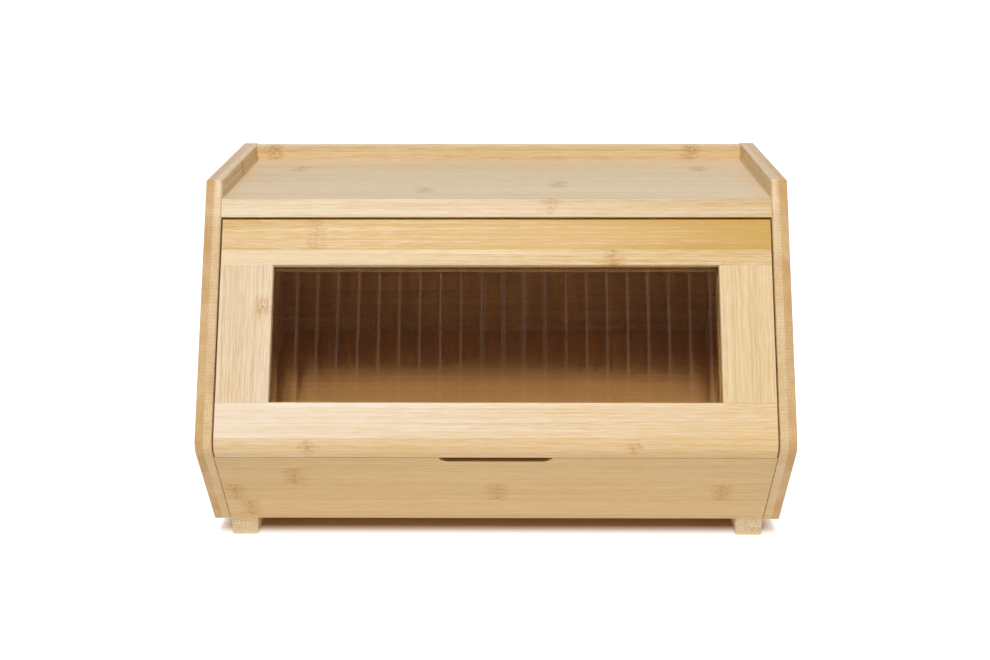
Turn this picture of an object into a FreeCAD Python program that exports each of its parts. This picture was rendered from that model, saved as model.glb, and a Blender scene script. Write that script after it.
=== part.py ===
import FreeCAD, Part
import math
import os
import re
import Sketcher

# A bamboo bread box: a cabinet with a leaning front, a flip-up door with a reeded pane
# and a drawer under it. X runs to the right, Y to the back, Z up. The origin is on the
# table under the middle of the box. Lengths are in millimetres, angles in degrees.

sizes = {
    # whole box
    "width": 400, "depth": 252, "height": 250,
    # front outline: two slopes, measured from the vertical, that meet in a round nose
    "upper_slope": 28.8, "lower_slope": 39.3, "nose_radius": 11, "nose_height": 86.7,
    # cabinet boards
    "side_thick": 11.5, "side_ease": 1.1, "board_ease": 0.7,
    "gallery": 12, "shelf_thick": 12, "back_thick": 9, "back_drop": 0.7,
    "floor_rise": 13.3, "floor_thick": 10, "base_thick": 10,
    "foot_height": 12.8, "foot_width": 18.6, "foot_inset": 0.4, "foot_front": 1.8,
    "foot_back_inset": 12, "foot_ease": 1.6,
    # door
    "door_thick": 15, "door_side_gap": 1.2, "door_top_gap": 0.9, "door_stop_gap": 1.3,
    "top_rail_height": 32.6, "stile_width": 35.8, "sill_to_nose": 24.4, "lip_drop": 9.2,
    "rabbet": 6, "pane_recess": 5.3, "pane_thick": 3.2, "pane_clear": 0.5,
    "flute_pitch": 13.86, "flute_shift": 5.1, "flute_deep": 1.2, "flute_land": 0.5,
    "bead_lip": 1, "pivot_drop": 11, "pin_radius": 2, "pin_in_side": 8, "pin_in_rail": 14,
    "pin_fit": 0.02, "pivot_clear": 0.08,
    "bumper_radius": 4, "bumper_thick": 1, "bumper_inset": 38,
    # drawer
    "seam_gap": 0.35, "front_thick": 11.5, "front_side_gap": 0.4, "front_foot_gap": 0.3,
    "front_stop_gap": 0.4, "box_side_gap": 0.9, "box_floor_gap": 0.3, "box_top_gap": 3.5,
    "box_back_gap": 5, "box_board": 8, "tray_thick": 4, "groove_deep": 4, "groove_up": 5,
    "groove_clear": 0.15, "notch_flat": 62.8, "notch_deep": 3.7, "notch_radius": 8.3,
    # fasteners
    "dowel_radius": 3, "dowel_in_side": 7.5, "dowel_in_board": 16, "dowel_inset": 26,
    "dowel_clear": 0.05, "thin_dowel_radius": 2.5, "thin_dowel_deep": 7, "thin_dowel_long": 22,
    "thin_dowel_inset": 16, "frame_dowel_deep": 14, "frame_dowel_inset": 9,
    "screw_radius": 1.8, "screw_head_radius": 3.5, "screw_head_deep": 2.5, "screw_sunk": 1,
    "screw_long": 19, "screw_inset": 38,
}

doc = FreeCAD.newDocument("bread_box")
sheet = doc.addObject("Spreadsheet::Sheet", "Sizes")
for row, (name, size) in enumerate(sizes.items(), start=1):
    sheet.set(f"A{row}", name)
    sheet.set(f"B{row}", str(size))
    sheet.setAlias(f"B{row}", name)
doc.recompute()

nodes = {}


# ---------------------------------------------------------------- tools

def tied(formula):
    """The formula with each size name pointed at the sheet."""
    return re.sub(r"[a-z]\w*", lambda word: "Sizes." + word[0] if word[0] in sizes else word[0], formula)


def number(formula):
    """What the formula comes to now."""
    return float(sheet.evalExpression(formula))


def keep(piece, label):
    """Makes a finished piece one of the part's nodes."""
    piece.Label = label
    nodes[label] = piece
    return piece


def body_at(name, x="0", leaning=False):
    """A body moved along X, or one that leans with the door, Z up its slope and Y into it."""
    body = doc.addObject("PartDesign::Body", name)
    body.Label = name + "_body"
    if leaning:
        tilt(body)
        body.setExpression(".Placement.Base.y", tied(door_y))
        body.setExpression(".Placement.Base.z", tied(door_z))
    body.setExpression(".Placement.Base.x", tied(x))
    return body


def tilt(piece):
    """Turns a piece about X so that its Z runs up the door's slope."""
    piece.Placement = FreeCAD.Placement(FreeCAD.Vector(), FreeCAD.Rotation(FreeCAD.Vector(1, 0, 0), 1))
    piece.setExpression(".Placement.Rotation.Angle", tied("-upper_slope"))


def sketch_on(body, plane, level):
    """An empty sketch on one of the body's own planes, moved along its normal."""
    sketch = body.newObject("Sketcher::SketchObject", body.Name + "_sketch")
    support = [feature for feature in body.Origin.OriginFeatures if feature.Role == plane][0]
    sketch.AttachmentSupport = (support, [""])
    sketch.MapMode = "FlatFace"
    sketch.setExpression(".AttachmentOffset.Base.z", tied(level))
    return sketch


def outline(body, corners, plane="YZ_Plane", level="0"):
    """A closed sketch through corners, each a pair of formulas. A corner with two more
    formulas, the centre of a circle, is reached by an arc about that centre."""
    sketch = sketch_on(body, plane, level)
    points = [FreeCAD.Vector(number(corner[0]), number(corner[1]), 0) for corner in corners]
    ends = []
    for index, corner in enumerate(corners):
        start, end = points[index - 1], points[index]
        if len(corner) == 2:
            edge = sketch.addGeometry(Part.LineSegment(start, end), False)
            ends.append((edge, 1, 2))
            continue
        centre = FreeCAD.Vector(number(corner[2]), number(corner[3]), 0)
        leftward = (start - centre).cross(end - centre).z > 0
        first, last = (start, end) if leftward else (end, start)
        turns = [math.atan2(point.y - centre.y, point.x - centre.x) for point in (first, last)]
        circle = Part.Circle(centre, FreeCAD.Vector(0, 0, 1), (start - centre).Length)
        edge = sketch.addGeometry(Part.ArcOfCircle(circle, *turns), False)
        ends.append((edge, 1, 2) if leftward else (edge, 2, 1))
        fix(sketch, edge, 3, corner[2], corner[3])
    for index, (edge, _, last) in enumerate(ends):
        following, first, _ = ends[(index + 1) % len(ends)]
        sketch.addConstraint(Sketcher.Constraint("Coincident", edge, last, following, first))
        across, up, *centre = corners[index]
        if centre:
            reach = [abs(number(place) - number(middle)) for place, middle in zip((across, up), centre)]
            across, up = (None, up) if reach[0] > reach[1] else (across, None)
        fix(sketch, edge, last, across, up)
    return sketch


def fix(sketch, edge, point, across, up):
    """Ties one point of a sketch to formulas for its two coordinates."""
    for direction, formula in (("DistanceX", across), ("DistanceY", up)):
        if formula is not None:
            held = sketch.addConstraint(Sketcher.Constraint(direction, edge, point, number(formula)))
            sketch.setExpression(f"Constraints[{held}]", tied(formula))


def pad(body, sketch, length, side="Symmetric"):
    feature = body.newObject("PartDesign::Pad", body.Name + "_pad")
    feature.Profile = sketch
    feature.SideType = side
    feature.setExpression("Length", tied(length))
    return feature


def cut(body, sketch, length, side="Symmetric", backwards=False):
    feature = body.newObject("PartDesign::Pocket", body.Name + "_cut")
    feature.Profile = sketch
    feature.SideType = side
    feature.Reversed = backwards
    feature.setExpression("Length", tied(length))
    return feature


def ease(body, radius, wanted):
    """Rounds the body's edges that the wanted test picks by their middle and direction."""
    doc.recompute()
    before = body.Tip
    picked = []
    for index, edge in enumerate(before.Shape.Edges, start=1):
        along = edge.valueAt(edge.LastParameter) - edge.valueAt(edge.FirstParameter)
        if wanted(edge.CenterOfMass, along.normalize()):
            picked.append(f"Edge{index}")
    feature = body.newObject("PartDesign::Fillet", body.Name + "_ease")
    feature.Base = (before, picked)
    feature.setExpression("Radius", tied(radius))
    return feature


def rod(x, y, z, along, radius, length, longer="0"):
    """A cylinder from a point along X, Y, Z or the door's slope, made longer at both ends."""
    turns = {"x": ((0, 1, 0), 90), "y": ((1, 0, 0), -90), "z": ((0, 0, 1), 0)}
    shift = {"x": (1, 0, 0), "y": (0, 1, 0), "z": (0, 0, 1),
             "slope": (0, "sin(upper_slope)", "cos(upper_slope)")}
    cylinder = doc.addObject("Part::Cylinder", "rod")
    if along == "slope":
        tilt(cylinder)
    else:
        axis, turn = turns[along]
        cylinder.Placement = FreeCAD.Placement(
            FreeCAD.Vector(), FreeCAD.Rotation(FreeCAD.Vector(*axis), turn))
    for name, place, way in zip("xyz", (x, y, z), shift[along]):
        cylinder.setExpression(".Placement.Base." + name, tied(f"{place} - ({longer})*{way}"))
    cylinder.setExpression("Radius", tied(radius))
    cylinder.setExpression("Height", tied(f"{length} + 2*({longer})"))
    return cylinder


def group(name, pieces):
    compound = doc.addObject("Part::Compound", name)
    compound.Links = pieces
    return compound


def drilled(body, label, bores):
    """The finished piece: a body with the bores of its fasteners cut out."""
    piece = doc.addObject("Part::Cut", label)
    piece.Base = body
    piece.Tool = group(label + "_bores", bores)
    return keep(piece, label)


# ---------------------------------------------------------------- places

inner_x = "(width/2 - side_thick)"
between_sides = "(width - 2*side_thick)"
shelf_top = "(height - gallery)"
shelf_under = "(height - gallery - shelf_thick)"
shelf_middle = "(height - gallery - shelf_thick/2)"
floor_top = "(nose_height + floor_rise)"
floor_under = "(nose_height + floor_rise - floor_thick)"
floor_middle = "(nose_height + floor_rise - floor_thick/2)"
base_top = "(foot_height + base_thick)"
base_middle = "(foot_height + base_thick/2)"
back_front = "(depth/2 - back_thick)"
nose_y = "(nose_radius - depth/2)"
door_inset = "(door_thick + door_stop_gap)"


def upper(z, inset="0"):
    """Y of the leaning upper front at a height, or of a plane set in behind it."""
    return f"({nose_y} - (nose_radius - ({inset}))/cos(upper_slope) + (({z}) - nose_height)*tan(upper_slope))"


def lower(z, inset="0"):
    """Y of the lower front at a height, or of a plane set in behind it."""
    return f"({nose_y} - (nose_radius - ({inset}))/cos(lower_slope) - (({z}) - nose_height)*tan(lower_slope))"


# The door's own coordinates: x, n into the door, u up its slope from its top front edge.
door_z = "(height - gallery - shelf_thick - door_top_gap)"
door_y = upper(door_z)
nose_u = f"(-({door_z} - nose_height - nose_radius*sin(upper_slope))/cos(upper_slope))"
rail_u = "(-top_rail_height)"
sill_u = f"({nose_u} + sill_to_nose)"
door_half = "(width/2 - side_thick - door_side_gap)"
window_half = f"({door_half} - stile_width)"


def in_door(n, u):
    """Y and Z of a point given in the door's own n and u."""
    return (f"({door_y} + ({n})*cos(upper_slope) + ({u})*sin(upper_slope))",
            f"({door_z} - ({n})*sin(upper_slope) + ({u})*cos(upper_slope))")


def across(points, start, radius, length, longer="0"):
    """Rods along X from start, at Y and Z pairs."""
    return [rod(start, y, z, "x", radius, length, longer) for y, z in points]


# ---------------------------------------------------------------- cabinet

def side_panel(label, x):
    body = body_at(label, x)
    face = outline(body, [
        (lower("foot_height"), "foot_height"),
        (f"{nose_y} - nose_radius*cos(lower_slope)", "nose_height - nose_radius*sin(lower_slope)"),
        (f"{nose_y} - nose_radius*cos(upper_slope)", "nose_height + nose_radius*sin(upper_slope)",
         nose_y, "nose_height"),
        (upper("height"), "height"),
        ("depth/2", "height"),
        ("depth/2", "foot_height")])
    pad(body, face, "side_thick", "One side")
    ease(body, "side_ease", lambda middle, along: abs(along.x) < 0.5)
    return body


def board_between_sides(label, corners, eased=None):
    body = body_at(label)
    pad(body, outline(body, corners), between_sides)
    if eased:
        ease(body, "board_ease", eased)
    return body


left_side = side_panel("left_side_panel", "-width/2")
right_side = side_panel("right_side_panel", inner_x)

shelf = board_between_sides("top_shelf", [
    (upper(shelf_under), shelf_under), (upper(shelf_top), shelf_top),
    (back_front, shelf_top), (back_front, shelf_under)],
    lambda middle, along: abs(along.x) > 0.5 and middle.y < number(upper(shelf_top)) + 1)
bread_floor = board_between_sides("bread_floor", [
    (upper(floor_under, door_inset), floor_under), (upper(floor_top, door_inset), floor_top),
    (back_front, floor_top), (back_front, floor_under)])
base_inset = "(front_thick + front_stop_gap)"
base = board_between_sides("base_panel", [
    (lower("foot_height", base_inset), "foot_height"), (lower(base_top, base_inset), base_top),
    (back_front, base_top), (back_front, "foot_height")])
back_top = "(height - back_drop)"
back = board_between_sides("back_panel", [
    (back_front, "foot_height"), (back_front, back_top), ("depth/2", back_top), ("depth/2", "foot_height")],
    lambda middle, along: abs(along.x) > 0.5 and middle.z > number(shelf_top))


def along_board(front, z):
    """Three places along a board, from near its front to near the back panel."""
    first, last = f"({front} + dowel_inset)", f"({back_front} - dowel_inset)"
    return [(first, z), (f"(({first} + {last})/2)", z), (last, z)]


# Dowels that hold the boards between the sides, three at each end of each board.
dowel_rows = {
    "shelf_dowels": along_board(upper(shelf_middle), shelf_middle),
    "floor_dowels": along_board(upper(floor_middle, door_inset), floor_middle),
    "base_dowels": along_board(lower(base_middle, base_inset), base_middle),
    "back_dowels": [("(depth/2 - back_thick/2)", z) for z in
                    (f"({base_top} + dowel_inset)", f"(({base_top} + {shelf_under})/2)",
                     f"({shelf_under} - dowel_inset)")],
}
dowel_long = "(dowel_in_side + dowel_in_board)"
dowel_starts = ("(-width/2 + side_thick - dowel_in_side)", f"({inner_x} - dowel_in_board)")
side_bores = {"left_side_panel": [], "right_side_panel": []}
board_bores = {}
for label, places in dowel_rows.items():
    rods = [across(places, start, "dowel_radius", dowel_long) for start in dowel_starts]
    keep(group(label, rods[0] + rods[1]), label)
    bores = [across(places, start, "dowel_radius + dowel_clear", dowel_long, "dowel_clear")
             for start in dowel_starts]
    board_bores[label] = bores[0] + bores[1]
    for side, side_rods in zip(side_bores, bores):
        side_bores[side] += side_rods

# Feet: two runners under the base, held by screws sunk in their undersides.
foot_y = "(" + lower("foot_height") + " + foot_front)"
foot_long = f"(depth/2 - foot_back_inset - {foot_y})"
foot_x = {"left": "(-width/2 + side_thick + foot_inset)", "right": f"({inner_x} - foot_inset - foot_width)"}
screw_y = [f"({lower(base_middle, base_inset)} + screw_inset)", f"(depth/2 - foot_back_inset - screw_inset)"]
screws, base_screw_bores = [], []
for side, x in foot_x.items():
    label = f"{side}_foot_runner"
    body = body_at(label, x)
    face = outline(body, [(foot_y, "0"), (foot_y, "foot_height"),
                          (f"{foot_y} + {foot_long}", "foot_height"), (f"{foot_y} + {foot_long}", "0")])
    pad(body, face, "foot_width", "One side")
    ease(body, "foot_ease", lambda middle, along: abs(along.y) > 0.5 and middle.z < 1)
    foot_bores = []
    for y in screw_y:
        middle_x = f"({x} + foot_width/2)"
        for pieces, clear in ((screws, "0"), (foot_bores, "dowel_clear")):
            shank = rod(middle_x, y, "screw_sunk", "z", f"screw_radius + {clear}", "screw_long", clear)
            head = doc.addObject("Part::Cone", "head")
            head.setExpression(".Placement.Base.x", tied(middle_x))
            head.setExpression(".Placement.Base.y", tied(y))
            head.setExpression(".Placement.Base.z", tied(f"screw_sunk - ({clear})"))
            head.setExpression("Radius1", tied(f"screw_head_radius + {clear}"))
            head.setExpression("Radius2", tied(f"screw_radius + {clear}"))
            head.setExpression("Height", tied(f"screw_head_deep + {clear}"))
            screw = doc.addObject("Part::Fuse", "screw")
            screw.Base, screw.Tool = shank, head
            pieces.append(screw)
        base_screw_bores.append(foot_bores[-1])
        foot_bores.append(rod(middle_x, y, "0", "z", "screw_head_radius + dowel_clear", "screw_sunk"))
    drilled(body, label, foot_bores)
keep(group("foot_screws", screws), "foot_screws")

drilled(shelf, "top_shelf", board_bores["shelf_dowels"])
drilled(bread_floor, "bread_floor", board_bores["floor_dowels"])
drilled(base, "base_panel", board_bores["base_dowels"] + base_screw_bores)
drilled(back, "back_panel", board_bores["back_dowels"])

# Steel pins that the door turns on, pressed into the sides.
pivot = in_door("door_thick/2", "-pivot_drop")
pin_long = "(pin_in_side + door_side_gap + pin_in_rail)"
pin_starts = {"left": "(-width/2 + side_thick - pin_in_side)",
              "right": f"({inner_x} - door_side_gap - pin_in_rail)"}
rail_pin_bores = []
for side, start in pin_starts.items():
    keep(rod(start, *pivot, "x", "pin_radius", pin_long), f"{side}_pivot_pin")
    side_bores[f"{side}_side_panel"].append(
        rod(start, *pivot, "x", "pin_radius + pin_fit", pin_long, "pin_fit"))
    rail_pin_bores.append(rod(start, *pivot, "x", "pin_radius + pivot_clear", pin_long, "pivot_clear"))
drilled(left_side, "left_side_panel", side_bores["left_side_panel"])
drilled(right_side, "right_side_panel", side_bores["right_side_panel"])


# ---------------------------------------------------------------- door

door_wide = f"(2*{door_half})"
pane_low_u = f"({sill_u} - rabbet)"
pane_high_u = f"({rail_u} + rabbet)"
pocket_wide = f"(2*({window_half} + rabbet))"


def leaning_board(label, low_u, high_u, wide, low_n="0", high_n="door_thick", x="0", side="Symmetric"):
    body = body_at(label, x, leaning=True)
    face = outline(body, [(low_n, low_u), (low_n, high_u), (high_n, high_u), (high_n, low_u)])
    pad(body, face, wide, side)
    return body


def rabbet_cut(body, low_u, high_u, wide, side="Symmetric", level="0", backwards=False):
    """The step at the back of the window that the pane lies in."""
    step = [("pane_recess", low_u), ("pane_recess", high_u), ("door_thick", high_u), ("door_thick", low_u)]
    cut(body, outline(body, step, level=level), wide, side, backwards)


top_rail = leaning_board("door_top_rail", rail_u, "0", door_wide)
ease(top_rail, "board_ease", lambda middle, along: abs(along.x) > 0.5 and middle.z > -1)
rabbet_cut(top_rail, rail_u, pane_high_u, pocket_wide)

# The bottom rail ends in the nose and is cut off level above the drawer.
turned = "(upper_slope + lower_slope)"
tangent_n = f"(nose_radius - nose_radius*cos{turned})"
tangent_u = f"({nose_u} - nose_radius*sin{turned})"
lip_long = "((lip_drop - nose_radius*sin(lower_slope))/cos(lower_slope))"
lip_n = f"({tangent_n} + {lip_long}*sin{turned})"
lip_u = f"({tangent_u} - {lip_long}*cos{turned})"
bottom_rail = body_at("door_bottom_rail", leaning=True)
pad(bottom_rail, outline(bottom_rail, [
    ("0", sill_u), ("door_thick", sill_u),
    ("door_thick", f"{lip_u} + (door_thick - {lip_n})*tan(upper_slope)"),
    (lip_n, lip_u), (tangent_n, tangent_u), ("0", nose_u, "nose_radius", nose_u)]), door_wide)
rabbet_cut(bottom_rail, pane_low_u, sill_u, pocket_wide)

left_stile = leaning_board("door_left_stile", sill_u, rail_u, "stile_width", x="-" + door_half, side="One side")
rabbet_cut(left_stile, sill_u, rail_u, "rabbet", "One side", "stile_width")
right_stile = leaning_board("door_right_stile", sill_u, rail_u, "stile_width", x=window_half, side="One side")
rabbet_cut(right_stile, sill_u, rail_u, "rabbet", "One side", "0", backwards=True)

# Dowels between the stiles and the rails, two at each joint.
frame_dowels, frame_bores = [], []
for edge_u in (rail_u, sill_u):
    n, u = "door_thick/2", f"({edge_u} - frame_dowel_deep)"
    for sign in ("-", ""):
        for inward in (f"({window_half} + rabbet + frame_dowel_inset)", f"({door_half} - frame_dowel_inset)"):
            place = (sign + inward, *in_door(n, u))
            frame_dowels.append(rod(*place, "slope", "dowel_radius", "2*frame_dowel_deep"))
            frame_bores.append(rod(*place, "slope", "dowel_radius + dowel_clear",
                                   "2*frame_dowel_deep", "dowel_clear"))
keep(group("door_frame_dowels", frame_dowels), "door_frame_dowels")
drilled(top_rail, "door_top_rail", frame_bores[:4] + rail_pin_bores)
drilled(bottom_rail, "door_bottom_rail", frame_bores[4:])
drilled(left_stile, "door_left_stile", [frame_bores[index] for index in (0, 1, 4, 5)])
drilled(right_stile, "door_right_stile", [frame_bores[index] for index in (2, 3, 6, 7)])

# The pane: a clear sheet with hollow flutes down its front and a narrow land between them.
pane_back = "(pane_recess + pane_thick)"
pane_wide = f"(2*({window_half} + rabbet - pane_clear))"
pane = leaning_board("reeded_pane", f"{pane_low_u} + pane_clear", f"{pane_high_u} - pane_clear", pane_wide,
                     "pane_recess", pane_back)
first_ridge = f"(flute_shift - (1 + floor(({pane_wide}/2 + flute_shift - flute_land)/flute_pitch))*flute_pitch)"
flute_half = "((flute_pitch - flute_land)/2)"
flute_middle = f"({first_ridge} + flute_pitch/2)"
flute_radius = f"(({flute_half}^2 + flute_deep^2)/(2*flute_deep))"
flute = outline(pane, [
    (f"{flute_middle} - {flute_half}", "pane_recess"),
    (f"{flute_middle} + {flute_half}", "pane_recess",
     flute_middle, f"pane_recess + flute_deep - {flute_radius}")], "XY_Plane")
flute_cut = cut(pane, flute, "2*height")
flutes = pane.newObject("PartDesign::LinearPattern", "reeded_pane_flutes")
flutes.Originals = [flute_cut]
flutes.Direction = (flute, ["H_Axis"])
flute_count = f"(2 + floor({pane_wide}/flute_pitch))"
flutes.setExpression("Occurrences", tied(flute_count))
flutes.setExpression("Length", tied(f"({flute_count} - 1)*flute_pitch"))
pane.Tip = flutes
keep(pane, "reeded_pane")

# Beads behind the pane. The top and right ones show a little inside the window.
bead_top_u = f"({pane_high_u} - pane_clear)"
bead_low_u = f"({pane_low_u} + pane_clear)"
beads = {
    "pane_bead_top": leaning_board("pane_bead_top", f"{rail_u} - bead_lip", bead_top_u, pane_wide, pane_back),
    "pane_bead_bottom": leaning_board("pane_bead_bottom", bead_low_u, sill_u, pane_wide, pane_back),
    "pane_bead_left": leaning_board("pane_bead_left", sill_u, f"{rail_u} - bead_lip", "rabbet - pane_clear",
                                    pane_back, x=f"-{window_half} - rabbet + pane_clear", side="One side"),
    "pane_bead_right": leaning_board("pane_bead_right", sill_u, f"{rail_u} - bead_lip",
                                     "rabbet - pane_clear + bead_lip", pane_back,
                                     x=f"{window_half} - bead_lip", side="One side"),
}
for label, bead in beads.items():
    keep(bead, label)

# Soft bumpers behind the bottom rail, where it rests on the bread floor's front edge.
bumper_u = f"(({floor_middle} - {door_z} + door_thick*sin(upper_slope))/cos(upper_slope))"
bumpers = []
for sign in ("-", ""):
    y, z = in_door("door_thick", bumper_u)
    bumper = doc.addObject("Part::Cylinder", "bumper")
    bumper.Placement = FreeCAD.Placement(FreeCAD.Vector(), FreeCAD.Rotation(FreeCAD.Vector(1, 0, 0), 1))
    bumper.setExpression(".Placement.Rotation.Angle", tied("-90 - upper_slope"))
    for name, formula in (("x", f"{sign}({door_half} - bumper_inset)"), ("y", y), ("z", z)):
        bumper.setExpression(".Placement.Base." + name, tied(formula))
    bumper.setExpression("Radius", tied("bumper_radius"))
    bumper.setExpression("Height", tied("bumper_thick"))
    bumpers.append(bumper)
keep(group("door_bumpers", bumpers), "door_bumpers")


# ---------------------------------------------------------------- drawer

front_half = f"({inner_x} - front_side_gap)"
front_low = "(foot_height + front_foot_gap)"
front_top = "(nose_height - lip_drop - seam_gap)"
front = body_at("drawer_front")
pad(front, outline(front, [
    (lower(front_low), front_low), (lower(front_top), front_top),
    (lower(front_top, "front_thick"), front_top), (lower(front_low, "front_thick"), front_low)]),
    f"2*{front_half}")
ease(front, "board_ease", lambda middle, along:
     abs(along.x) > 0.5 and middle.z < number(front_low) + 1 and middle.y < number(lower(front_low)) + 1)

notch_low = f"({front_top} - notch_deep)"
notch_half = "(notch_flat/2 + sqrt(notch_radius^2 - (notch_radius - notch_deep)^2))"
notch = outline(front, [
    ("-" + notch_half, front_top),
    ("-notch_flat/2", notch_low, "-notch_flat/2", f"{notch_low} + notch_radius"),
    ("notch_flat/2", notch_low),
    (notch_half, front_top, "notch_flat/2", f"{notch_low} + notch_radius")], "XZ_Plane")
cut(front, notch, "2*depth")

box_top = "(nose_height - lip_drop - box_top_gap)"
box_half = f"({inner_x} - box_side_gap)"
box_low = f"({base_top} + box_floor_gap)"
box_back = f"({back_front} - box_back_gap)"
box_wide = f"(2*({box_half} - box_board))"
groove_low = f"({box_low} + groove_up)"
groove_high = f"({groove_low} + tray_thick + groove_clear)"
tray_front = f"({lower(groove_low, 'front_thick')} - groove_deep)"
tray_back = f"({box_back} - box_board + groove_deep)"
groove = [(tray_front, groove_low), (tray_front, groove_high),
          (tray_back, groove_high), (tray_back, groove_low)]
groove_wide = f"({box_wide} + 2*groove_deep)"
cut(front, outline(front, groove), groove_wide)

box_side = [(lower(box_low, "front_thick"), box_low), (lower(box_top, "front_thick"), box_top),
            (box_back, box_top), (box_back, box_low)]
left_box = body_at("drawer_left_side", "-" + box_half)
pad(left_box, outline(left_box, box_side), "box_board", "One side")
cut(left_box, outline(left_box, groove, level="box_board"), "groove_deep", "One side")
right_box = body_at("drawer_right_side", f"{box_half} - box_board")
pad(right_box, outline(right_box, box_side), "box_board", "One side")
cut(right_box, outline(right_box, groove), "groove_deep", "One side", backwards=True)
for box in (left_box, right_box):
    ease(box, "board_ease", lambda middle, along: abs(along.y) > 0.9 and middle.z > number(box_top) - 1)

box_end = body_at("drawer_back")
pad(box_end, outline(box_end, [
    (f"{box_back} - box_board", box_low), (f"{box_back} - box_board", box_top),
    (box_back, box_top), (box_back, box_low)]), box_wide)
cut(box_end, outline(box_end, groove), groove_wide)

tray = body_at("drawer_bottom")
tray_top = f"({groove_low} + tray_thick)"
pad(tray, outline(tray, [
    (f"{tray_front} + groove_clear", groove_low), (f"{tray_front} + groove_clear", tray_top),
    (f"{tray_back} - groove_clear", tray_top), (f"{tray_back} - groove_clear", groove_low)]),
    f"{groove_wide} - 2*groove_clear")
keep(tray, "drawer_bottom")

# Dowels of the drawer: along Y from the front into the sides, along X through the sides.
thin_heights = (f"({groove_high} + thin_dowel_inset/2)", f"({box_top} - thin_dowel_inset/2)")
front_rods, end_rods, front_bores, end_bores = [], [], [], []
for sign in ("-", ""):
    x = f"{sign}({box_half} - box_board/2)"
    start = "-" + box_half if sign else f"({box_half} - thin_dowel_long)"
    for z in thin_heights:
        y = f"({lower(z, 'front_thick')} - thin_dowel_deep)"
        end_y = f"({box_back} - box_board/2)"
        for rods, grown in ((front_rods, "0"), (front_bores, "dowel_clear")):
            rods.append(rod(x, y, z, "y", f"thin_dowel_radius + {grown}", "thin_dowel_long", grown))
        for rods, grown in ((end_rods, "0"), (end_bores, "dowel_clear")):
            rods.append(rod(start, end_y, z, "x", f"thin_dowel_radius + {grown}", "thin_dowel_long", grown))
keep(group("drawer_dowels", front_rods + end_rods), "drawer_dowels")
drilled(front, "drawer_front", front_bores)
drilled(left_box, "drawer_left_side", front_bores[:2] + end_bores[:2])
drilled(right_box, "drawer_right_side", front_bores[2:] + end_bores[2:])
drilled(box_end, "drawer_back", end_bores)


# ---------------------------------------------------------------- checks and files

doc.recompute()
for item in doc.Objects:
    if "Invalid" in item.State or "Error" in item.State:
        raise RuntimeError(f"{item.Label} did not recompute: {item.State}")
    if item.TypeId == "PartDesign::Pocket" and item.Shape.Volume >= item.BaseFeature.Shape.Volume:
        raise RuntimeError(f"{item.Name} cut nothing")
for label, piece in nodes.items():
    if piece.Shape.isNull() or not piece.Shape.isValid():
        raise RuntimeError(f"{label} has no valid shape")

os.makedirs("parts", exist_ok=True)
for label, piece in nodes.items():
    piece.Shape.exportStep(f"parts/{label}.step")
    print(label, len(piece.Shape.Solids), round(piece.Shape.Volume))
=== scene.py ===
import bpy, math
from mathutils import Matrix, Vector


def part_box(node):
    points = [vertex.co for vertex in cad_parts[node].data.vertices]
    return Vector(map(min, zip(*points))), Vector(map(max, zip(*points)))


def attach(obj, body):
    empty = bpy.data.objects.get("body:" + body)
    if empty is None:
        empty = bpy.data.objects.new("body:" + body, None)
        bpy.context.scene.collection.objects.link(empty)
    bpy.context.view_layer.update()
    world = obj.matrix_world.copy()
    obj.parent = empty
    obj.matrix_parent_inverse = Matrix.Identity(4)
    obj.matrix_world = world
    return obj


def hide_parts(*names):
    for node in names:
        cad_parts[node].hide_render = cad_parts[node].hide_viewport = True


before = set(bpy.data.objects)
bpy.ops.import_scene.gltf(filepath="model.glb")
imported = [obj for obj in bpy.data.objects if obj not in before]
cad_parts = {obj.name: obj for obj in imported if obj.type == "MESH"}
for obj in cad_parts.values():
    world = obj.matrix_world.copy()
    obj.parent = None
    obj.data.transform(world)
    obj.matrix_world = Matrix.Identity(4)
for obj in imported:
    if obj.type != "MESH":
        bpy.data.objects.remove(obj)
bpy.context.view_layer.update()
scene = bpy.context.scene
scene.view_settings.view_transform = "Standard"
mm = 0.001
print("frame loaded")

# camera

cameraSettings = {"place": (0.012311, -1.15158, 0.44874), "pitch": 15.362, "turn": 0.687, "roll": -0.1408,
                  "lens": 59.52, "sensor": 36}
camera = bpy.data.objects.new("camera", bpy.data.cameras.new("camera"))
scene.collection.objects.link(camera)
camera.data.sensor_width = cameraSettings["sensor"]
camera.data.lens = cameraSettings["lens"]
camera.matrix_world = (Matrix.Translation(cameraSettings["place"])
                       @ Matrix.Rotation(math.radians(cameraSettings["turn"]), 4, "Z")
                       @ Matrix.Rotation(math.radians(90 - cameraSettings["pitch"]), 4, "X")
                       @ Matrix.Rotation(math.radians(cameraSettings["roll"]), 4, "Z"))
scene.camera = camera
print("camera set")


# small helpers for modelling, all in metres

mostly = 0.9  # the part of a direction that counts as running along an axis
hair = 0.1 * mm  # slack when faces and edges are found by their place


def clearSelection():
    if bpy.context.mode != "OBJECT":
        bpy.ops.object.mode_set(mode="OBJECT")
    bpy.ops.object.select_all(action="DESELECT")


def addBlock(name, low, high):  # a box from its lowest to its highest corner, left in edit mode
    clearSelection()
    low, high = Vector(low), Vector(high)
    bpy.ops.mesh.primitive_cube_add(size=1, location=(low + high) / 2)
    block = bpy.context.object
    block.name = block.data.name = name
    block.scale = high - low
    bpy.ops.object.transform_apply(location=True, rotation=True, scale=True)
    bpy.ops.object.mode_set(mode="EDIT")
    return block


def bisect(point, normal, clear=False, fill=True):  # cuts through everything, and may clear the normal's side
    bpy.ops.mesh.select_all(action="SELECT")
    bpy.ops.mesh.bisect(plane_co=point, plane_no=normal, clear_outer=clear, use_fill=clear and fill)


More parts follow.
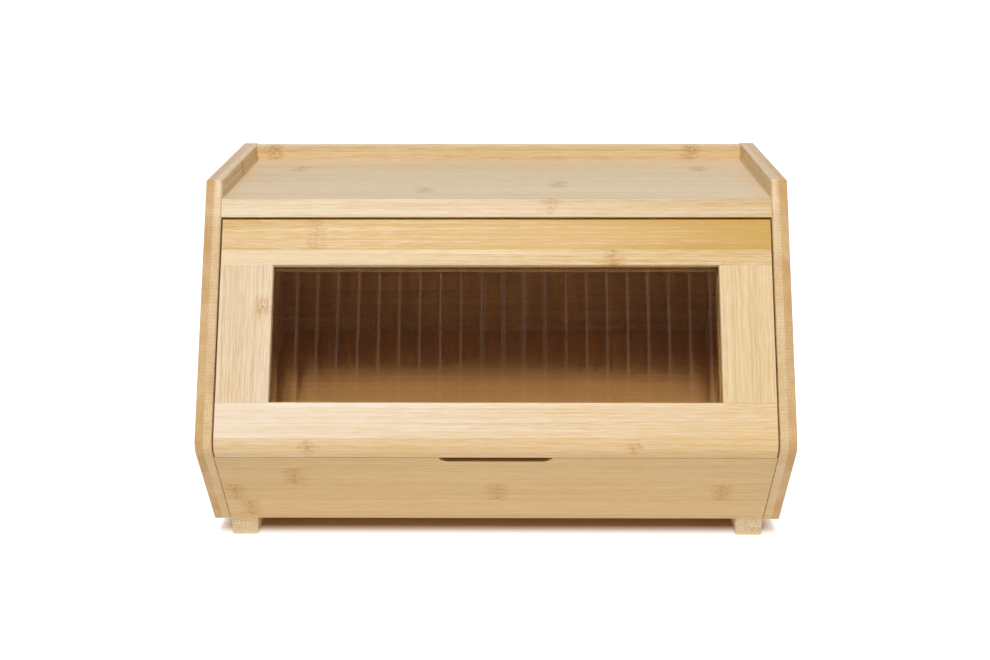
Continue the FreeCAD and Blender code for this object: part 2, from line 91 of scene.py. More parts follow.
def pick(block, kind, wanted):  # selects the faces or edges whose middle and direction are wanted
    bpy.ops.mesh.select_mode(type=kind)
    bpy.ops.mesh.select_all(action="DESELECT")
    bpy.ops.object.mode_set(mode="OBJECT")
    mesh = block.data
    for part in (mesh.polygons if kind == "FACE" else mesh.edges):
        corners = [mesh.vertices[index].co for index in part.vertices]
        middle = sum(corners, Vector()) / len(corners)
        way = part.normal if kind == "FACE" else (corners[1] - corners[0]).normalized()
        part.select = bool(wanted(middle, way))
    bpy.ops.object.mode_set(mode="EDIT")


def bevelPicked(width, segments=3):
    bpy.ops.mesh.bevel(offset=width, offset_type="OFFSET", segments=segments, profile=0.5, affect="EDGES")


def extrudePicked(shift):
    bpy.ops.mesh.extrude_region_move(TRANSFORM_OT_translate={"value": shift})


def settle(block, body, node, turn=0.0, shift=(0, 0, 0), smooth=30):
    # leaves edit mode, turns the piece about X, moves it to its place and puts it on its body
    clearSelection()
    block.select_set(True)
    bpy.context.view_layer.objects.active = block
    block.rotation_euler = (turn, 0, 0)
    block.location = shift
    bpy.ops.object.transform_apply(location=True, rotation=True, scale=True)
    bpy.ops.object.shade_smooth_by_angle(angle=math.radians(smooth))
    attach(block, body)
    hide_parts(node)
    block.select_set(False)


# shader helpers

def colour(red, green, blue):  # screen values 0 to 255 as the shader's own
    steps = [value / 255 for value in (red, green, blue)]
    return (*[v / 12.92 if v <= 0.04045 else ((v + 0.055) / 1.055) ** 2.4 for v in steps], 1)


def fillInputs(tree, sockets, values):  # by number or name: an output is linked, a value is written
    for key, value in dict(values).items():
        if isinstance(value, bpy.types.NodeSocket):
            tree.links.new(value, sockets[key])
        else:
            sockets[key].default_value = value


def put(tree, kind, inputs=(), **settings):  # adds a node, sets it and fills its inputs
    node = tree.nodes.new("ShaderNode" + kind)
    for name, value in settings.items():
        setattr(node, name, value)
    fillInputs(tree, node.inputs, inputs)
    return node


def maths(tree, operation, *values):
    return put(tree, "Math", enumerate(values), operation=operation).outputs[0]


def centred(tree, value):  # from between 0 and 1 to between -0.5 and 0.5
    return maths(tree, "SUBTRACT", value, 0.5)


def axes(tree, vector):
    return put(tree, "SeparateXYZ", {0: vector}).outputs


def blendColour(tree, share, first, second):
    return put(tree, "Mix", {0: share, 6: first, 7: second}, data_type="RGBA").outputs[2]


def ramp(tree, value, low, high, lowOut=0.0, highOut=1.0):
    return put(tree, "MapRange", {0: value, 1: low, 2: high, 3: lowOut, 4: highOut}).outputs[0]


def cloud(tree, place, scale, detail, rough=0.5):
    noise = put(tree, "TexNoise", {"Vector": place, "Scale": scale, "Detail": detail, "Roughness": rough})
    return noise.outputs[0]


def streaky(tree, place, size, detail, rough=0.5):  # a cloud squeezed by its own amount along each axis
    squeezed = put(tree, "VectorMath", {0: place, 1: size}, operation="MULTIPLY").outputs[0]
    return cloud(tree, squeezed, scale=1.0, detail=detail, rough=rough)


def newGroup(name, inputs, outputs):
    tree = bpy.data.node_groups.new(name, "ShaderNodeTree")
    for label, value in inputs.items():
        kind = {1: "Float", 3: "Vector", 4: "Color"}[len(value) if isinstance(value, tuple) else 1]
        socket = tree.interface.new_socket(label, in_out="INPUT", socket_type="NodeSocket" + kind)
        socket.default_value = value
    for label, kind in outputs.items():
        tree.interface.new_socket(label, in_out="OUTPUT", socket_type="NodeSocket" + kind)
    return tree, tree.nodes.new("NodeGroupInput").outputs, tree.nodes.new("NodeGroupOutput").inputs


def newMaterial(name):
    material = bpy.data.materials.new(name)
    material.use_nodes = True
    return material, material.node_tree, material.node_tree.nodes["Principled BSDF"].inputs


def dress(piece, material):
    piece.data.materials.clear()
    piece.data.materials.append(material)


# bamboo: glued strips with fibres, knuckles where the cane had its joints, and speckled end grain
# The grain runs along the vector's X, the strips lie side by side along Y and in plies along Z.

knuckleSpots = [f"knuckle{number}" for number in range(1, 6)]
farAway = 9.0  # past every edge of the box, so what starts there never shows
grainInputs = {
    "vector": (0.0, 0.0, 0.0), "normal": (0.0, 0.0, 0.0), "seed": 0.0,
    "stripWidth": 0.02, "stripShift": 0.0, "ply": 0.006,
    "lightTone": colour(250, 230, 192), "darkTone": colour(206, 158, 96),
    "middle": 0.4, "contrast": 0.2, "fibres": 1.2,  # the dark tone's share, how strips and fibres differ
    "drift": 0.0,  # painted sheen: how much darker it gets with each metre along the grain
    "stepPlace": farAway, "stepTone": 0.0, "stepDrift": 0.0,  # another tone and painted sheen drift from this Y on
    "plyPlace": farAway, "plyTone": 0.0,  # another tone from this Z outwards
    "knuckleShare": 0.25, "knuckleDepth": 0.5,  # the share of strips that have knuckles by chance
    "speckle": 0.5, "specklePlace": -farAway, "endMiddle": 0.6,  # end grain: dots from this Y on, dark share
    **{spot: (farAway, farAway, 0.0) for spot in knuckleSpots}}  # X, Y, and how it narrows across its strip
grainLook = {
    "jump": 7.0,  # how far along a strip's fibres may be moved
    "fibres": [{"size": (1.5, 300, 300), "weight": 0.4}, {"size": (6, 850, 850), "weight": 1.2},
               {"size": (70, 1500, 1500), "weight": 1.3}],  # from the longest to the finest
    "fibreDetail": 3.0, "fibreRough": 0.6,
    "seam": 0.00035, "seamShare": 0.3, "seamTone": colour(170, 115, 60),
    "roughLeast": 0.36, "roughFibres": 0.16, "roughEnds": 0.15,
    "heightFibres": -0.8, "heightSeam": 0.5, "heightKnuckle": 0.35}
knuckleLook = {
    "tone": colour(192, 130, 56), "cane": 0.31,  # from one joint of the cane to the next
    "wander": 0.004, "wanderScale": 160.0,
    "ridge": (0.0003, 0.0016), "ridgeShare": 0.25,  # full within the first distance, gone at the second
    "band": (0.003, 0.0095), "fleckSize": (260, 800, 800),
    "flecks": (0.4, 0.62, 0.08, 1.0)}  # the cloud's low and high end, and how much of the band each shows
endLook = {
    "cut": (0.6, 0.8),  # how squarely a face cuts the fibres
    "dotScale": 900.0, "dotSpread": 0.5, "dotEdge": (0.3, 0.55), "dotTone": colour(186, 114, 44),
    "patchScale": 90.0, "patchWeight": 0.7, "stripWeight": 0.2}


def stripAt(tree, given, across):  # how many strips lie before this place
    return maths(tree, "DIVIDE", maths(tree, "ADD", across, given["stripShift"]), given["stripWidth"])


def woodTone(tree, given, share):
    share = put(tree, "Clamp", {0: share}).outputs[0]
    return blendColour(tree, share, given["lightTone"], given["darkTone"])


def addStreaks(tree, place):  # short thin streaks in longer bands, and the finest of them alone
    streaks = 0.0
    for fibre in grainLook["fibres"]:
        noise = streaky(tree, place, fibre["size"], grainLook["fibreDetail"], grainLook["fibreRough"])
        streaks = maths(tree, "MULTIPLY_ADD", centred(tree, noise), fibre["weight"], streaks)
    return streaks, noise


def addSteps(tree, given, place):  # the tone's change at a strip, at a ply, and along the grain as painted sheen
    beyond = maths(tree, "GREATER_THAN", place[1], given["stepPlace"])
    step = maths(tree, "MULTIPLY_ADD", place[0], given["stepDrift"], given["stepTone"])
    outside = maths(tree, "GREATER_THAN", maths(tree, "ABSOLUTE", place[2]), given["plyPlace"])
    ply = maths(tree, "MULTIPLY", outside, given["plyTone"])
    drift = maths(tree, "MULTIPLY_ADD", place[0], given["drift"], ply)
    return maths(tree, "MULTIPLY_ADD", beyond, step, drift)


def addKnuckles(tree, given, place, fibrePlace, stripNumber, chances):
    # a dark ridge across one strip with broken flecks on both sides
    wander = cloud(tree, fibrePlace, knuckleLook["wanderScale"], detail=1.0)
    wandered = maths(tree, "MULTIPLY_ADD", centred(tree, wander), knuckleLook["wander"], place[0])

    # those by chance, one to each length of cane
    turn = maths(tree, "ADD", maths(tree, "DIVIDE", wandered, knuckleLook["cane"]), chances[2])
    nearest = maths(tree, "MULTIPLY", centred(tree, maths(tree, "FRACT", turn)), knuckleLook["cane"])
    shown = maths(tree, "LESS_THAN", chances[0], given["knuckleShare"])
    distance = maths(tree, "ADD", maths(tree, "ABSOLUTE", nearest), maths(tree, "SUBTRACT", 1.0, shown))

    # those with a place of their own, each kept to its strip
    for key in knuckleSpots:
        spot = axes(tree, given[key])
        spotStrip = maths(tree, "FLOOR", stripAt(tree, given, spot[1]))
        elsewhere = maths(tree, "ABSOLUTE", maths(tree, "SUBTRACT", spotStrip, stripNumber))
        beside = maths(tree, "ABSOLUTE", maths(tree, "SUBTRACT", place[1], spot[1]))
        along = maths(tree, "ABSOLUTE", maths(tree, "SUBTRACT", wandered, spot[0]))
        reach = maths(tree, "ADD", along, maths(tree, "MULTIPLY_ADD", beside, spot[2], elsewhere))
        distance = maths(tree, "MINIMUM", distance, reach)

    ridge = ramp(tree, distance, *knuckleLook["ridge"], 1.0, 0.0)
    band = ramp(tree, distance, *knuckleLook["band"], 1.0, 0.0)
    flecks = streaky(tree, fibrePlace, knuckleLook["fleckSize"], detail=1.0)
    broken = maths(tree, "MULTIPLY", band, ramp(tree, flecks, *knuckleLook["flecks"]))
    return maths(tree, "MULTIPLY_ADD", ridge, knuckleLook["ridgeShare"], broken)


def addEndGrain(tree, given, place, chances, steps):  # dark bundles as small dots over soft patches
    cells = put(tree, "TexVoronoi", {
        "Vector": given["vector"], "Scale": endLook["dotScale"], "Randomness": endLook["dotSpread"]})
    dots = ramp(tree, cells.outputs["Distance"], *endLook["dotEdge"], 1.0, 0.0)
    dotted = maths(tree, "GREATER_THAN", place[1], given["specklePlace"])
    speckle = maths(tree, "MULTIPLY", dots, maths(tree, "MULTIPLY", dotted, given["speckle"]))
    patches = centred(tree, cloud(tree, given["vector"], endLook["patchScale"], detail=2.0))
    patchTone = maths(tree, "MULTIPLY_ADD", patches, endLook["patchWeight"], given["endMiddle"])
    stripTone = maths(tree, "MULTIPLY_ADD", centred(tree, chances[1]), endLook["stripWeight"], steps)
    tone = woodTone(tree, given, maths(tree, "ADD", patchTone, stripTone))
    return blendColour(tree, speckle, tone, endLook["dotTone"])


def makeBambooGrain():
    outputs = {"colour": "Color", "roughness": "Float", "height": "Float"}
    tree, given, out = newGroup("bambooGrain", grainInputs, outputs)
    place = axes(tree, given["vector"])
    strip = stripAt(tree, given, place[1])
    stripNumber = maths(tree, "FLOOR", strip)
    plyNumber = maths(tree, "FLOOR", maths(tree, "DIVIDE", place[2], given["ply"]))
    address = put(tree, "CombineXYZ", {0: stripNumber, 1: plyNumber, 2: given["seed"]}).outputs[0]
    chance = put(tree, "TexWhiteNoise", {0: address}, noise_dimensions="3D")
    chances = axes(tree, chance.outputs["Color"])

    # each strip takes its fibres from another place
    along = maths(tree, "MULTIPLY_ADD", chances[0], grainLook["jump"], place[0])
    fibrePlace = put(tree, "CombineXYZ", {0: along, 1: place[1], 2: place[2]}).outputs[0]
    streaks, finest = addStreaks(tree, fibrePlace)
    steps = addSteps(tree, given, place)
    stripTone = maths(tree, "MULTIPLY_ADD", centred(tree, chances[1]), given["contrast"], steps)
    fibreTone = maths(tree, "MULTIPLY_ADD", streaks, given["fibres"], given["middle"])
    base = woodTone(tree, given, maths(tree, "ADD", stripTone, fibreTone))

    knuckle = addKnuckles(tree, given, place, fibrePlace, stripNumber, chances)
    depth = maths(tree, "MULTIPLY", knuckle, given["knuckleDepth"])
    base = blendColour(tree, depth, base, knuckleLook["tone"])

    # glue lines between the strips
    fromMiddle = maths(tree, "ABSOLUTE", centred(tree, maths(tree, "SUBTRACT", strip, stripNumber)))
    toEdge = maths(tree, "MULTIPLY", maths(tree, "SUBTRACT", 0.5, fromMiddle), given["stripWidth"])
    seam = ramp(tree, toEdge, 0.0, grainLook["seam"], 1.0, 0.0)
    seamShown = maths(tree, "MULTIPLY", seam, grainLook["seamShare"])
    base = blendColour(tree, seamShown, base, grainLook["seamTone"])

    endward = maths(tree, "ABSOLUTE", axes(tree, given["normal"])[0])
    ends = ramp(tree, endward, *endLook["cut"])
    base = blendColour(tree, ends, base, addEndGrain(tree, given, place, chances, steps))

    rough = maths(tree, "MULTIPLY_ADD", finest, grainLook["roughFibres"], grainLook["roughLeast"])
    raised = maths(tree, "MULTIPLY", streaks, grainLook["heightFibres"])
    lowered = maths(tree, "MULTIPLY_ADD", seam, grainLook["heightSeam"],
                    maths(tree, "MULTIPLY", knuckle, grainLook["heightKnuckle"]))
    fillInputs(tree, out, {
        "colour": base, "height": maths(tree, "SUBTRACT", raised, lowered),
        "roughness": maths(tree, "MULTIPLY_ADD", ends, grainLook["roughEnds"], rough)})
    return tree


bambooGrain = makeBambooGrain()
grainWays = {  # turns a place so that X runs along the grain, Y across the strips and Z through the plies
    "door": (-61.2, 0, 0), "stile": (-61.2, 0, -90), "lower": (-129.3, 0, 0), "flat": (0, 0, 0),
    "upright": (-90, 0, 0), "deep": (-90, -90, 0)}
woodLook = {"rough": 0.12, "coatRough": 0.16, "specular": 0.3, "bump": 0.3, "bumpHeight": 0.00025}


def makeBamboo(name, way, coat=0.1, move=(0, 0, 0), **grain):
    material, tree, shader = newMaterial(name)
    turned = [math.radians(angle) for angle in grainWays[way]]
    spot = put(tree, "TexCoord").outputs
    place = put(tree, "Mapping", {"Vector": spot["Object"], "Location": move, "Rotation": turned})
    normal = put(tree, "Mapping", {"Vector": spot["Normal"], "Rotation": turned}, vector_type="NORMAL")
    sockets = {"vector": place.outputs[0], "normal": normal.outputs[0], **grain}
    wood = put(tree, "Group", sockets, node_tree=bambooGrain).outputs
    bump = put(tree, "Bump", {"Height": wood["height"], "Strength": woodLook["bump"],
                              "Distance": woodLook["bumpHeight"]}).outputs[0]
    fillInputs(tree, shader, {
        "Base Color": wood["colour"], "Roughness": maths(tree, "ADD", wood["roughness"], woodLook["rough"]),
        "Normal": bump, "Coat Weight": coat, "Coat Roughness": woodLook["coatRough"],
        "Specular IOR Level": woodLook["specular"]})
    return material


plainLook = {"scale": 900.0, "detail": 2.0, "mottle": (0.2, 0.8), "roughSpan": 0.08}


def makePlain(name, tint, rough, metallic=0.0, speckle=0.0):
    material, tree, shader = newMaterial(name)
    mottle = cloud(tree, put(tree, "TexCoord").outputs["Object"], plainLook["scale"], plainLook["detail"])
    darker = (*[part * (1 - speckle) for part in tint[:3]], 1)
    span = plainLook["roughSpan"]
    fillInputs(tree, shader, {
        "Base Color": blendColour(tree, mottle, tint, darker), "Metallic": metallic,
        "Roughness": ramp(tree, mottle, *plainLook["mottle"], rough - span, rough + span)})
    return material


# cabinet

cabinet = {"slopeUp": 28.8, "slopeLow": 39.3, "noseRadius": 11 * mm, "noseHeight": 86.7 * mm, "noseSteps": 20,
           "depthHalf": 126 * mm, "ease": 1.1 * mm, "room": 5 * mm,
           "cutHeights": (0.2, 0.05)}  # where the cut along each slope is set
slopeUp, slopeLow = math.radians(cabinet["slopeUp"]), math.radians(cabinet["slopeLow"])
noseTurn = slopeUp + slopeLow  # what the front turns through at the nose
noseRun = cabinet["noseRadius"] * math.tan(noseTurn / 2)  # from the slopes' meeting line to the nose's start
noseY = cabinet["noseRadius"] - cabinet["depthHalf"]


def frontY(z, slope):  # where the front is at this height, on the slope that leans back by this angle
    return noseY - cabinet["noseRadius"] / math.cos(slope) + (z - cabinet["noseHeight"]) * math.tan(slope)


def sidePanel(name, node):
    low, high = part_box(node)
    # the two slopes meet in front of the nose, so the block needs some room there
    side = addBlock(name, (low.x, low.y - cabinet["room"], low.z), high)
    for z, slope in zip(cabinet["cutHeights"], (slopeUp, -slopeLow)):
        bisect((0, frontY(z, slope), z), (0, -math.cos(slope), math.sin(slope)), clear=True)
    pick(side, "EDGE", lambda middle, way: abs(way.x) > mostly and middle.y < low.y)
    bevelPicked(noseRun, cabinet["noseSteps"])
    pick(side, "EDGE", lambda middle, way: abs(way.x) < mostly)
    bevelPicked(cabinet["ease"])
    settle(side, "cabinet", node)
    return side


sides = [sidePanel("leftSide", "left_side_panel"), sidePanel("rightSide", "right_side_panel")]
print("sides made")


# door, modelled upright with its top front edge on the X axis, then leant back

door = {"thick": 15 * mm, "halfWidth": 187.3 * mm, "windowHalf": 151.5 * mm, "railFoot": -32.6 * mm,
        "sill": -127.487 * mm, "noseStart": -151.887 * mm, "recess": 5.3 * mm, "rabbet": 6 * mm,
        "paneThick": 3.2 * mm, "paneClear": 0.5 * mm, "ease": 0.7 * mm, "lipDrop": 9.2 * mm,
        "top": 225.1 * mm}  # the height of its top front edge
doorPlace = (0, frontY(door["top"], slopeUp), door["top"])
pocketHalf = door["windowHalf"] + door["rabbet"]


def hangOnDoor(piece, node, smooth=30):
    settle(piece, "door", node, turn=-slopeUp, shift=doorPlace, smooth=smooth)


def backOfFrame(piece, wanted):  # carries the back of a frame board out to the door's full thickness
    pick(piece, "FACE", lambda middle, way: way.y > mostly and wanted(middle))
    extrudePicked((0, door["thick"] - door["recess"], 0))


def frontEdges(piece, wanted):  # rounds over edges of the frame's front
    pick(piece, "EDGE", lambda middle, way: middle.y < hair and wanted(middle, way))
    bevelPicked(door["ease"])


def frameRail(name, low, high, rabbetEnd, windowWay):
    # a board across the frame, with a rabbet for the pane; windowWay is 1 with the window above it, -1 below
    rail = addBlock(name, (-door["halfWidth"], 0, low), (door["halfWidth"], door["recess"], high))
    bisect((0, 0, rabbetEnd), (0, 0, 1))
    for x in (-pocketHalf, pocketHalf, -door["windowHalf"], door["windowHalf"]):
        bisect((x, 0, 0), (1, 0, 0))
    backOfFrame(rail, lambda middle: abs(middle.x) > pocketHalf or (middle.z - rabbetEnd) * windowWay < 0)
    return rail


topRail = frameRail("topRail", door["railFoot"], 0, door["railFoot"] + door["rabbet"], -1)
frontEdges(topRail, lambda middle, way: abs(way.x) > mostly and (middle.z > -hair or (
    middle.z < door["railFoot"] + hair and abs(middle.x) < door["windowHalf"])))
hangOnDoor(topRail, "door_top_rail")

# the bottom rail turns through the nose and ends level above the drawer, its block starts far below that
bottomRail = frameRail("bottomRail", -door["top"], door["sill"], door["sill"] - door["rabbet"], 1)
meeting = Vector((0, 0, door["noseStart"] - noseRun))  # where the two front planes would meet
bisect(meeting, (0, -math.cos(noseTurn), -math.sin(noseTurn)), clear=True)
lipDepth = door["top"] - cabinet["noseHeight"] + door["lipDrop"]  # under the door's top front edge
level = Vector((0, math.sin(slopeUp), -math.cos(slopeUp)))  # straight down, in the door's own frame
bisect(level * lipDepth, level, clear=True)
pick(bottomRail, "EDGE", lambda middle, way: abs(way.x) > mostly and (middle - meeting).yz.length < hair)
bevelPicked(noseRun, cabinet["noseSteps"])
frontEdges(bottomRail, lambda middle, way: abs(way.x) > mostly and middle.z > door["sill"] - hair
           and abs(middle.x) < door["windowHalf"])
hangOnDoor(bottomRail, "door_bottom_rail")

for name, node, sign in (("leftStile", "door_left_stile", -1), ("rightStile", "door_right_stile", 1)):
    edges = sorted((sign * door["windowHalf"], sign * door["halfWidth"]))
    stile = addBlock(name, (edges[0], 0, door["sill"]), (edges[1], door["recess"], door["railFoot"]))
    bisect((sign * pocketHalf, 0, 0), (1, 0, 0))
    backOfFrame(stile, lambda middle: abs(middle.x) > pocketHalf)
    frontEdges(stile, lambda middle, way: abs(way.z) > mostly and abs(middle.x) < door["windowHalf"] + hair)
    hangOnDoor(stile, node)
print("door frame made")


# pane: one hollow flute spun about its own centre, a narrow land, then copies in a row

flute = {"pitch": 13.86 * mm, "land": 0.5 * mm, "deep": 1.2 * mm, "shift": 5.1 * mm, "steps": 18,
         "ridgeRound": 0.225 * mm, "ridgeSteps": 4, "smooth": 20, "weld": 0.02 * mm, "double": 0.005 * mm}
fluteHalf = (flute["pitch"] - flute["land"]) / 2
fluteRadius = (fluteHalf ** 2 + flute["deep"] ** 2) / (2 * flute["deep"])
fluteTurn = 2 * math.asin(fluteHalf / fluteRadius)
paneHalf = pocketHalf - door["paneClear"]
paneLow = door["sill"] - door["rabbet"] + door["paneClear"]
paneHigh = door["railFoot"] + door["rabbet"] - door["paneClear"]
firstRidge = flute["shift"] - math.floor((paneHalf + flute["shift"]) / flute["pitch"] + 1) * flute["pitch"]
nearEdge, farEdge = firstRidge + flute["land"] / 2, firstRidge + flute["pitch"] - flute["land"] / 2
startWidth = 1 * mm  # of a plane that leaves only its right edge

clearSelection()
bpy.ops.mesh.primitive_plane_add(size=1, location=(0, 0, 0), rotation=(math.pi / 2, 0, 0))
pane = bpy.context.object
pane.name = pane.data.name = "reededPane"
pane.scale = (startWidth, paneHigh - paneLow, 1)
pane.location = (nearEdge - startWidth / 2, door["recess"], (paneLow + paneHigh) / 2)
bpy.ops.object.transform_apply(location=True, rotation=True, scale=True)
bpy.ops.object.mode_set(mode="EDIT")
pick(pane, "EDGE", lambda middle, way: abs(way.z) < mostly or middle.x < nearEdge - hair)
bpy.ops.mesh.delete(type="EDGE")
bpy.ops.mesh.select_all(action="SELECT")
centre = (firstRidge + flute["pitch"] / 2, door["recess"] + flute["deep"] - fluteRadius, 0)
bpy.ops.mesh.spin(steps=flute["steps"], angle=fluteTurn, center=centre, axis=(0, 0, 1))
pick(pane, "EDGE", lambda middle, way: abs(way.z) > mostly and abs(middle.x - farEdge) < hair)
extrudePicked((flute["land"], 0, 0))

bpy.ops.object.mode_set(mode="OBJECT")
row = pane.modifiers.new("row", "ARRAY")
row.count = math.ceil(2 * paneHalf / flute["pitch"]) + 1
row.use_relative_offset, row.use_constant_offset = False, True
row.constant_offset_displace = (flute["pitch"], 0, 0)
row.use_merge_vertices, row.merge_threshold = True, flute["weld"]
bpy.ops.object.modifier_apply(modifier=row.name)

bpy.ops.object.mode_set(mode="EDIT")
pick(pane, "EDGE", lambda middle, way: abs(way.z) > mostly and middle.y < door["recess"] + hair)
bevelPicked(flute["ridgeRound"], flute["ridgeSteps"])
for sign in (-1, 1):
    bisect((sign * paneHalf, 0, 0), (sign, 0, 0), clear=True, fill=False)

# the back is pushed out past the flutes, pressed flat and set at the pane's thickness
bpy.ops.mesh.select_all(action="SELECT")
extrudePicked((0, door["thick"], 0))
bpy.ops.transform.resize(value=(1, 0, 1))
bpy.ops.object.mode_set(mode="OBJECT")
paneBack = max(vertex.co.y for vertex in pane.data.vertices)
bpy.ops.object.mode_set(mode="EDIT")
bpy.ops.transform.translate(value=(0, door["recess"] + door["paneThick"] - paneBack, 0))
bpy.ops.mesh.select_all(action="SELECT")
bpy.ops.mesh.remove_doubles(threshold=flute["double"])
bpy.ops.mesh.normals_make_consistent(inside=False)
hangOnDoor(pane, "reeded_pane", flute["smooth"])
print("pane made")


# finishes

pale, cream, honey = colour(250, 230, 198), colour(248, 222, 176), colour(246, 214, 162)
deep = colour(208, 160, 96)
# the top rail darkens towards its right end: painted sheen, the varnish's reflection whiter at the left
dress(topRail, makeBamboo(
    "topRailBamboo", "door", seed=3.0, stripWidth=0.0215, stripShift=-0.0005,
    lightTone=colour(250, 224, 184), darkTone=colour(217, 170, 82), middle=0.33, contrast=0.0,
    drift=1.4, stepPlace=0.151, stepTone=0.55,
    knuckleShare=0.0, knuckle1=(-0.123, 0.1612, 0), knuckle2=(0.0803, 0.1456, 0)))
# above the nose the face is paler and drifts along the grain: partly the strip's own tone, partly painted
# sheen of the varnish
dress(bottomRail, makeBamboo(
    "bottomRailBamboo", "door", seed=8.0, stripWidth=0.0244, stripShift=-0.0203,
    lightTone=colour(252, 232, 206), darkTone=colour(236, 194, 126), middle=0.73, contrast=0.0,
    drift=0.5, stepPlace=0.0203, stepTone=-0.36, stepDrift=1.3,
    knuckleShare=0.0, knuckle1=(-0.1248, 0.015, 1.4), knuckle2=(0.0924, 0.0154, 1.4)))
# the left stile's paler light tone is painted sheen, the varnish's reflection whiter at the left
for stile, light, spots in (("leftStile", colour(252, 230, 200), {"knuckle1": (0.1104, 0.1554, 0)}),
                            ("rightStile", cream, {})):
    dress(bpy.data.objects[stile], makeBamboo(
        stile + "Bamboo", "stile", seed=11.0, stripWidth=0.025, stripShift=0.0125,
        lightTone=light, darkTone=colour(222, 180, 120), middle=0.36, contrast=0.1,
        knuckleShare=0.0, **spots))
for side, plyShift in zip(sides, (-0.00125, 0.00125)):
    dress(side, makeBamboo(
        side.name + "Bamboo", "deep", coat=0.3, move=(0, 0, plyShift), seed=21.0, stripWidth=0.0275,
        stripShift=-0.0074, lightTone=cream, darkTone=deep, ply=0.00575, plyPlace=0.1955, plyTone=0.3,
        speckle=0.28, endMiddle=0.36))

nodeFinishes = {
    # the shelf's drift along the grain is painted sheen; from Y -0.0445 on the step takes it out again
    "top_shelf": makeBamboo(
        "shelfBamboo", "flat", seed=31.0, stripWidth=0.022, lightTone=pale, darkTone=colour(214, 170, 94),
        middle=0.38, fibres=0.9, drift=1.1, stepPlace=-0.0445, stepTone=-0.1, stepDrift=-1.1,
        knuckleShare=0.1, knuckleDepth=0.45, knuckle1=(0.037, -0.0459, 1.5), knuckle2=(-0.1494, 0.0714, 0),
        knuckle3=(0.045, 0, 0), knuckle4=(-0.051, -0.0038, 0), knuckle5=(0.1523, 0.0706, 0)),
    # below Y 0.2375 the panel, inside the box under the shelf, keeps a darker tone than the rail above:
    # painted shade
    "back_panel": makeBamboo(
        "backBamboo", "upright", seed=41.0, stripWidth=0.03, stripShift=0.0025,
        lightTone=cream, darkTone=deep, stepPlace=0.2375, stepTone=-0.18,
        knuckleShare=0.15, knuckle1=(-0.1745, 0.2444, 0), knuckle2=(0.1494, 0.2442, 0)),
    "bread_floor": makeBamboo(
        "floorBamboo", "flat", seed=51.0, stripWidth=0.022, lightTone=honey, darkTone=colour(206, 156, 92)),
    "base_panel": makeBamboo(
        "baseBamboo", "flat", seed=52.0, stripWidth=0.022, lightTone=cream, darkTone=deep),
    "drawer_front": makeBamboo(
        "drawerFrontBamboo", "lower", seed=61.0, stripWidth=0.0215, stripShift=0.0062,
        lightTone=colour(242, 212, 160), darkTone=colour(208, 162, 98), middle=0.3, fibres=0.75,
        knuckleShare=0.0, knuckle1=(-0.1372, 0.1124, 0), knuckle2=(-0.1797, 0.0959, 0),
        knuckle3=(-0.1724, 0.0721, 0), knuckle4=(0.0007, 0.0938, 0), knuckle5=(0.1553, 0.0944, 0)),
    "drawer_left_side": makeBamboo("drawerSideBamboo", "deep", seed=71.0),
    "drawer_back": makeBamboo("drawerBackBamboo", "upright", seed=81.0),
    "drawer_bottom": makeBamboo("drawerBottomBamboo", "flat", seed=91.0, stripWidth=0.03),
    # the runners' pale tones are partly painted light, making up for the box's shade on the feet
    "left_foot_runner": makeBamboo(
        "runnerBamboo", "deep", seed=95.0, stripWidth=0.008, stripShift=0.0027, ply=0.03,
        lightTone=colour(255, 240, 204), darkTone=colour(252, 206, 142), stepPlace=0.0053, stepTone=-0.1,
        speckle=0.7, specklePlace=0.0022, endMiddle=0.3),
    "pane_bead_top": makeBamboo("beadBamboo", "door", seed=97.0, stripWidth=0.01, lightTone=honey),
    "pane_bead_left": makeBamboo("sideBeadBamboo", "stile", seed=98.0, stripWidth=0.01, lightTone=honey),
    "shelf_dowels": makePlain("dowelWood", colour(214, 178, 132), 0.6, speckle=0.2),
    "left_pivot_pin": makePlain("pinSteel", colour(200, 200, 198), 0.3, metallic=1.0, speckle=0.15),
    "door_bumpers": makePlain("bumperRubber", colour(214, 212, 204), 0.7, speckle=0.08)}
sameAs = {"drawer_right_side": "drawer_left_side", "right_foot_runner": "left_foot_runner",
          "pane_bead_bottom": "pane_bead_top", "pane_bead_right": "pane_bead_left",
          "right_pivot_pin": "left_pivot_pin", "foot_screws": "left_pivot_pin",
          **{part + "_dowels": "shelf_dowels" for part in ("floor", "base", "back", "door_frame", "drawer")}}
for node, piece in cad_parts.items():
    finish = nodeFinishes.get(sameAs.get(node, node))
    if finish:
        dress(piece, finish)

# clear acrylic, which lets part of the lamps' light straight through. Its brown tint is partly painted shade:
# it darkens the inside of the box seen through the pane.
acrylic = {"tint": (0.74, 0.63, 0.50, 1), "ior": 1.49, "lightThrough": 0.45,
           "hazeScale": 60.0, "hazeDetail": 2.0, "haze": (0.3, 0.7, 0.02, 0.06)}
clear, tree, shader = newMaterial("clearAcrylic")
through = maths(tree, "MULTIPLY", put(tree, "LightPath").outputs["Is Shadow Ray"], acrylic["lightThrough"])
haze = cloud(tree, put(tree, "TexCoord").outputs["Object"], acrylic["hazeScale"], acrylic["hazeDetail"])
fillInputs(tree, shader, {
    "Base Color": acrylic["tint"], "Transmission Weight": 1.0, "IOR": acrylic["ior"],
    "Alpha": maths(tree, "SUBTRACT", 1.0, through), "Roughness": ramp(tree, haze, *acrylic["haze"])})
dress(pane, clear)
print("finishes given")


# floor, with its own light as the camera sees it (glow) and as the box gets it (lift)

